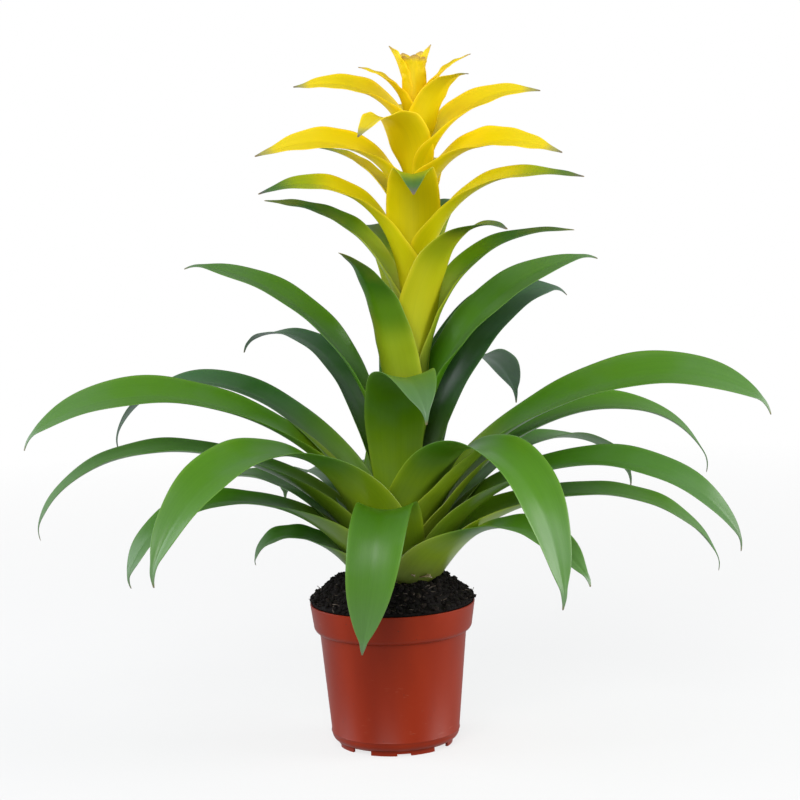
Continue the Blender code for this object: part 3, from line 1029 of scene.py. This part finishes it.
@dataclass
class Pot:
    """The nursery pot: a thin turned shell with a rim band, standing on a notched foot ring."""

    rim_radius: float
    height: float
    band_height: float = 0.0215
    band_draft: float = 0.0023
    step: float = 0.0044
    base_radius: float = 0.0465
    corner: float = 0.006
    wall: float = 0.0014
    foot_radius: float = 0.0415
    foot_height: float = 0.0035
    foot_wall: float = 0.002
    lip: float = 0.0005
    turns: int = 180
    arc_steps: int = 8
    notches: int = 4
    notch_turn: float = 53.0
    notch_width: float = 0.016
    small_notch_width: float = 0.010
    small_notch_height: float = 0.0015
    hole_radius: float = 0.004
    hole_reach: float = 0.032
    plastic: PotPlastic = field(default_factory=PotPlastic)

    def arc(self, middle: Span, radius: float, first: float, last: float) -> list[Span]:
        """Points along an arc of the profile.

        Args:
            middle: The arc's centre, as a radius and a height.
            radius: Its radius.
            first: The angle that it starts at, in degrees from outwards towards up.
            last: The angle that it ends at.

        Returns:
            Its points.
        """
        points = []
        for step in range(self.arc_steps + 1):
            angle = math.radians(first + (last - first) * step / self.arc_steps)
            points.append((middle[0] + radius * math.cos(angle), middle[1] + radius * math.sin(angle)))
        return points

    def profile(self) -> list[Span]:
        """The wall's section, from the floor's middle up the inside and down the outside.

        Returns:
            Its points, each a radius and a height.
        """
        shelf = self.height - self.band_height
        band_foot = self.rim_radius - self.band_draft
        neck = band_foot - self.step
        floor = self.foot_height + self.wall
        corner, wall, lip = self.corner, self.wall, self.lip
        inside = [(0, floor)]
        inside += self.arc((self.base_radius - corner, floor + corner - wall), corner - wall, -90, 0)
        inside += [(neck - wall, shelf + wall), (band_foot - wall, shelf + wall + self.step * 0.4)]
        top = self.arc((self.rim_radius - wall + lip, self.height - lip), lip, 180, 90)
        top += self.arc((self.rim_radius - lip, self.height - lip), lip, 90, 0)
        rounding = self.step * 1.25
        band = self.arc((band_foot - rounding, shelf + rounding), rounding, 0, -80)
        shade = [(neck + 0.0001, shelf + 0.0001), (neck, shelf - 0.0006)]
        bead = self.foot_height + corner + 0.001
        side = [(self.base_radius + 0.0002, bead + 0.0008), (self.base_radius + 0.0006, bead + 0.0003)]
        side += [(self.base_radius + 0.0004, bead - 0.0004)]
        outer = self.arc((self.base_radius - corner, self.foot_height + corner), corner, 0, -60)
        foot = [(self.foot_radius, self.foot_height), (self.foot_radius, 0)]
        foot_inside = self.foot_radius - self.foot_wall
        foot += [(foot_inside, 0), (foot_inside, self.foot_height)]
        return inside + top + band + shade + side + outer + foot + [(0, self.foot_height)]

    def cutters(self) -> bmesh.types.BMesh:
        """The notches in the foot ring and the drain holes in the floor, as solids to cut away.

        Returns:
            The solids.
        """
        bm = bmesh.new()
        for index in range(self.notches):
            turn = math.radians(self.notch_turn + index * 360 / self.notches)
            between = turn + math.pi / self.notches
            deep = self.foot_height - 0.0004
            for angle, width, depth in (
                (turn, self.notch_width, deep),
                (between, self.small_notch_width, self.small_notch_height),
            ):
                made = bmesh.ops.create_cube(bm, size=1)["verts"]
                bmesh.ops.scale(bm, verts=made, vec=(self.foot_wall * 4, width, depth * 2))
                bmesh.ops.translate(bm, verts=made, vec=(self.foot_radius, 0, 0))
                bmesh.ops.rotate(bm, verts=made, matrix=Matrix.Rotation(angle, 3, "Z"))
            radii = {"radius1": self.hole_radius, "radius2": self.hole_radius}
            made = bmesh.ops.create_cone(bm, cap_ends=True, segments=32, depth=0.01, **radii)["verts"]
            bmesh.ops.translate(bm, verts=made, vec=(self.hole_reach, 0, self.foot_height))
            bmesh.ops.rotate(bm, verts=made, matrix=Matrix.Rotation(turn, 3, "Z"))
        return bm

    def build(self) -> None:
        """Makes the pot."""
        finish = self.plastic.material()
        whole = new_object("pot_whole", turned(self.profile(), self.turns), finish)
        tools = new_object("pot_cutters", self.cutters(), finish)
        cut = whole.modifiers.new("notches", "BOOLEAN")
        cut.operation, cut.solver, cut.object = "DIFFERENCE", "EXACT", tools
        bpy.context.view_layer.update()
        shown = whole.evaluated_get(bpy.context.evaluated_depsgraph_get())
        mesh = bpy.data.meshes.new_from_object(shown)
        pot = bpy.data.objects.new("pot_shell", mesh)
        bpy.context.scene.collection.objects.link(pot)
        mesh.set_sharp_from_angle(angle=math.radians(50))
        for spare in (whole, tools):
            bpy.data.objects.remove(spare)
        keep(pot, Slot.POT, "pot")


@dataclass
class Soil:
    """The soil: a heaped crumbly top that reaches over the rim, with loose crumbs and fibres on it.

    edge_lift, edge_from, edge_to: how much higher it is heaped by the rim, and between which radii.
    strewn: the shares of the rim's area between which loose bits lie.
    lumps, clods, grains: each layer of roughness, as features in a metre and their height.
    """

    rim_radius: float
    rim_height: float
    wall: float = 0.0014
    mound: float = 0.0165
    mound_radius: float = 0.036
    edge_lift: float = 0.0022
    edge_from: float = 0.035
    edge_to: float = 0.055
    depth: float = 0.018
    rings: int = 70
    turns: int = 220
    kinds: int = 12
    crumbs: int = 1900
    chips: int = 380
    fibres: int = 170
    crumb_radius: float = 0.0015
    fibre_radius: float = 0.0003
    fibre_length: float = 0.006
    strewn: Span = (0.06, 0.992)
    perch: Span = (-0.0004, 0.0008)
    bit_sizes: Span = (0.5, 1.6)
    crumb_tilt: Span = (-0.8, 0.8)
    fibre_tilt: Span = (0.9, 1.75)
    lumps: Span = (70, 0.0036)
    clods: Span = (260, 0.0016)
    grains: Span = (700, 0.0014)

    def top(self, radius: float) -> float:
        """The height of the even surface at a distance from the pot's axis."""
        fall = smoothstep(self.mound_radius, self.rim_radius, radius)
        return self.rim_height + 0.001 + self.mound * (1 - fall)

    def rough(self, x: float, y: float) -> float:
        """How far crumbs, and the heaped edge, raise or lower the surface at a place.

        Args:
            x: The place's X.
            y: The place's Y.

        Returns:
            The height to add.
        """
        place = Vector((x, y, 0))
        (lump_scale, lump), (clod_scale, clod), (grain_scale, grain) = self.lumps, self.clods, self.grains
        coarse = noise.noise(place * lump_scale) * lump
        middle = noise.noise(place * clod_scale + Vector((3, 1, 0))) * clod
        fine = abs(noise.noise(place * grain_scale + Vector((7, 5, 0)))) * grain
        edge = self.edge_lift * smoothstep(self.edge_from, self.edge_to, place.length)
        return coarse + middle + fine + edge

    def body(self, finish: bpy.types.Material) -> None:
        """The soil's main body, closed below.

        Args:
            finish: Its material.
        """
        reach = self.rim_radius - self.wall - 0.0001
        inner = self.rim_radius - self.wall - 0.0003
        radii = [reach * ring / self.rings for ring in range(self.rings + 1)]
        profile = [(radius, self.top(radius)) for radius in radii]
        profile += [(reach, self.rim_height + 0.0002), (inner, self.rim_height + 0.0001)]
        profile += [(inner - 0.001, self.rim_height - self.depth), (0, self.rim_height - self.depth)]
        bm = turned(profile, self.turns)
        for vert in bm.verts:
            radius = vert.co.to_2d().length
            if vert.co.z > self.rim_height + 0.0006:
                edge = smoothstep(self.rim_radius, self.rim_radius - 0.004, radius)
                vert.co.z += self.rough(vert.co.x, vert.co.y) * edge
        keep(new_object("soil_body", bm, finish), Slot.SOIL, "soil")

    def scatter(self, name: str, count: int, seed: int, finish: bpy.types.Material, bit: Bit) -> None:
        """Loose bits lying on the soil, joined in one piece.

        Args:
            name: The piece's name.
            count: How many there are.
            seed: Where the draws start.
            finish: Their material.
            bit: What they are.
        """
        draws = random.Random(seed)
        make = {Bit.CRUMB: self.crumb, Bit.FIBRE: self.fibre}[bit]
        kinds = [make(draws) for _ in range(self.kinds)]
        bm = bmesh.new()
        for _ in range(count):
            radius = self.rim_radius * math.sqrt(draws.uniform(*self.strewn))
            angle = draws.uniform(0, 2 * math.pi)
            x, y = radius * math.cos(angle), radius * math.sin(angle)
            height = self.top(radius) + self.rough(x, y)
            tilt = draws.uniform(*(self.fibre_tilt if bit is Bit.FIBRE else self.crumb_tilt))
            turn = Matrix.Rotation(draws.uniform(0, 2 * math.pi), 4, "Z") @ Matrix.Rotation(tilt, 4, "X")
            place = Matrix.Translation((x, y, height + draws.uniform(*self.perch)))
            copy = draws.choice(kinds).copy()
            copy.transform(place @ turn @ Matrix.Scale(draws.uniform(*self.bit_sizes), 4))
            bm.from_mesh(copy)
            bpy.data.meshes.remove(copy)
        for kind in kinds:
            bpy.data.meshes.remove(kind)
        keep(new_object(name, bm, finish), Slot.SOIL)

    def crumb(self, draws: random.Random) -> bpy.types.Mesh:
        """An uneven crumb of soil.

        Args:
            draws: Where its shape is drawn from.

        Returns:
            Its mesh, about 3 mm across.
        """
        bm = bmesh.new()
        made = bmesh.ops.create_icosphere(bm, subdivisions=1, radius=self.crumb_radius)["verts"]
        for vert in made:
            vert.co *= draws.uniform(0.7, 1.25)
        stretch = (draws.uniform(0.7, 1.3), draws.uniform(0.6, 1.2), draws.uniform(0.5, 1.0))
        bmesh.ops.scale(bm, verts=made, vec=stretch)
        return self.as_mesh(bm)

    def fibre(self, draws: random.Random) -> bpy.types.Mesh:
        """A short curved fibre.

        Args:
            draws: Where its shape is drawn from.

        Returns:
            Its mesh, about 6 mm long.
        """
        bm = bmesh.new()
        radius, length = self.fibre_radius, self.fibre_length
        radii = {"radius1": radius, "radius2": radius * 0.6}
        bmesh.ops.create_cone(bm, cap_ends=True, segments=5, depth=length, **radii)
        along = [edge for edge in bm.edges if edge.calc_length() > radius * 4]
        bmesh.ops.subdivide_edges(bm, edges=along, cuts=2)
        bow = Vector((draws.uniform(-1, 1), draws.uniform(-1, 1), 0)) * length * 0.25
        for vert in bm.verts:
            vert.co += bow * (2 * vert.co.z / length) ** 2
        return self.as_mesh(bm)

    def as_mesh(self, bm: bmesh.types.BMesh) -> bpy.types.Mesh:
        """Turns a bmesh into a mesh, and frees it."""
        mesh = bpy.data.meshes.new("soil_bit")
        bm.to_mesh(mesh)
        bm.free()
        return mesh

    def build(self) -> None:
        """Makes the soil and what lies on it."""
        peat = Peat("potting_soil", (0.010, 0.007, 0.006), (0.045, 0.031, 0.023), 0.66)
        chips = Peat("soil_chips", (0.024, 0.016, 0.012), (0.090, 0.064, 0.048), 0.58)
        straw = Peat("soil_fibres", (0.150, 0.110, 0.085), (0.280, 0.230, 0.200), 0.45)
        peat_finish = peat.material()
        self.body(peat_finish)
        self.scatter("soil_crumbs", self.crumbs, 11, peat_finish, Bit.CRUMB)
        self.scatter("soil_chips", self.chips, 12, chips.material(), Bit.CRUMB)
        self.scatter("soil_fibres", self.fibres, 13, straw.material(), Bit.FIBRE)


@dataclass(frozen=True)
class SoftBox:
    """A large soft light: where it is, how large, how strong and of what colour."""

    name: str
    place: Triple
    size: float
    power: float
    colour: Triple = (1.0, 1.0, 1.0)

    def build(self, target: Vector) -> None:
        """Hangs the light.

        Args:
            target: The point that it faces.
        """
        data = bpy.data.lights.new(self.name, "AREA")
        data.size = self.size
        data.energy = self.power
        data.color = self.colour
        lamp = bpy.data.objects.new(self.name, data)
        lamp.location = self.place
        lamp.rotation_mode = "QUATERNION"
        lamp.rotation_quaternion = (target - lamp.location).to_track_quat("-Z", "Y")
        bpy.context.scene.collection.objects.link(lamp)


@dataclass
class Studio:
    """A white studio: a pale floor, soft lights, and the camera in front."""

    eye: Triple = (0.0095, -1.6, 0.44)
    target: Triple = (0.0095, 0.0, 0.252)
    lens: float = 100.5
    roll: float = -1.55
    floor_radius: float = 2.0
    front_light: float = 0.36
    back_light: float = 0.55
    top_light: float = 0.45
    depth_range: Span = (-0.7, 0.5)
    height_range: Span = (0.2, 0.9)
    sky: Triple = (0.90, 0.96, 1.0)
    lit_height: float = 0.28
    lights: tuple[SoftBox, ...] = (
        SoftBox("front_softbox", (-0.5, -1.9, 1.5), 1.4, 34.0),
        SoftBox("left_softbox", (-1.5, 0.15, 0.70), 1.1, 13.0, (0.88, 0.92, 1.0)),
        SoftBox("right_softbox", (1.5, -0.15, 0.70), 1.1, 18.0),
    )

    def floor(self) -> None:
        """The floor, which fades out into the light round it."""
        bm = bmesh.new()
        bmesh.ops.create_circle(bm, cap_ends=True, segments=96, radius=self.floor_radius)
        new_object("floor", bm, PaleFloor().material())

    def camera(self) -> None:
        """The camera, in front and a little above the rosette, looking slightly down."""
        data = bpy.data.cameras.new("camera")
        data.lens = self.lens
        data.sensor_width = 36.0
        camera = bpy.data.objects.new("camera", data)
        eye, target = Vector(self.eye), Vector(self.target)
        camera.location = eye
        camera.rotation_mode = "QUATERNION"
        aim = (target - eye).to_track_quat("-Z", "Y")
        camera.rotation_quaternion = aim @ Matrix.Rotation(math.radians(self.roll), 3, "Z").to_quaternion()
        bpy.context.scene.collection.objects.link(camera)
        bpy.context.scene.camera = camera

    def surroundings(self) -> None:
        """The light from all round: brightest behind, dimmer in front and overhead, white in view."""
        world = bpy.data.worlds.new("studio")
        world.use_nodes = True
        world.node_tree.nodes.clear()
        wiring = Wiring(world.node_tree)
        way = wiring.node("ShaderNodeTexCoord").outputs["Generated"]
        split = wiring.node("ShaderNodeSeparateXYZ", {0: way}).outputs
        depth = wiring.spread(split["Y"], *self.depth_range, self.front_light, self.back_light)
        above = wiring.spread(split["Z"], *self.height_range, 1.0, self.top_light)
        strength = wiring.product(depth, above)
        lit = wiring.node("ShaderNodeBackground", {"Strength": strength, "Color": (*self.sky, 1.0)})
        seen = wiring.node("ShaderNodeBackground", {"Color": (1.0, 1.0, 1.0, 1.0)})
        direct = wiring.node("ShaderNodeLightPath").outputs["Is Camera Ray"]
        both = wiring.node("ShaderNodeMixShader", {0: direct, 1: lit.outputs[0], 2: seen.outputs[0]})
        wiring.node("ShaderNodeOutputWorld", {"Surface": both.outputs[0]})
        bpy.context.scene.world = world

    def build(self) -> None:
        """Sets up the studio."""
        bpy.context.scene.view_settings.view_transform = "Standard"
        self.floor()
        self.camera()
        self.surroundings()
        for light in self.lights:
            light.build(Vector((0, 0, self.lit_height)))


def main() -> None:
    """Builds the bromeliad and its studio."""
    logging.basicConfig(level=logging.INFO, format="%(name)s: %(message)s")
    pot_low, pot_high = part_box("pot")
    soil_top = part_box("soil")[1].z
    stalk_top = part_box("stem")[1].z
    Studio().build()
    Pot(pot_high.x, pot_high.z).build()
    Soil(pot_high.x, pot_high.z).build()
    Plant(PlantAxis(soil_top, stalk_top - soil_top)).build()


if __name__ == "__main__":
    main()
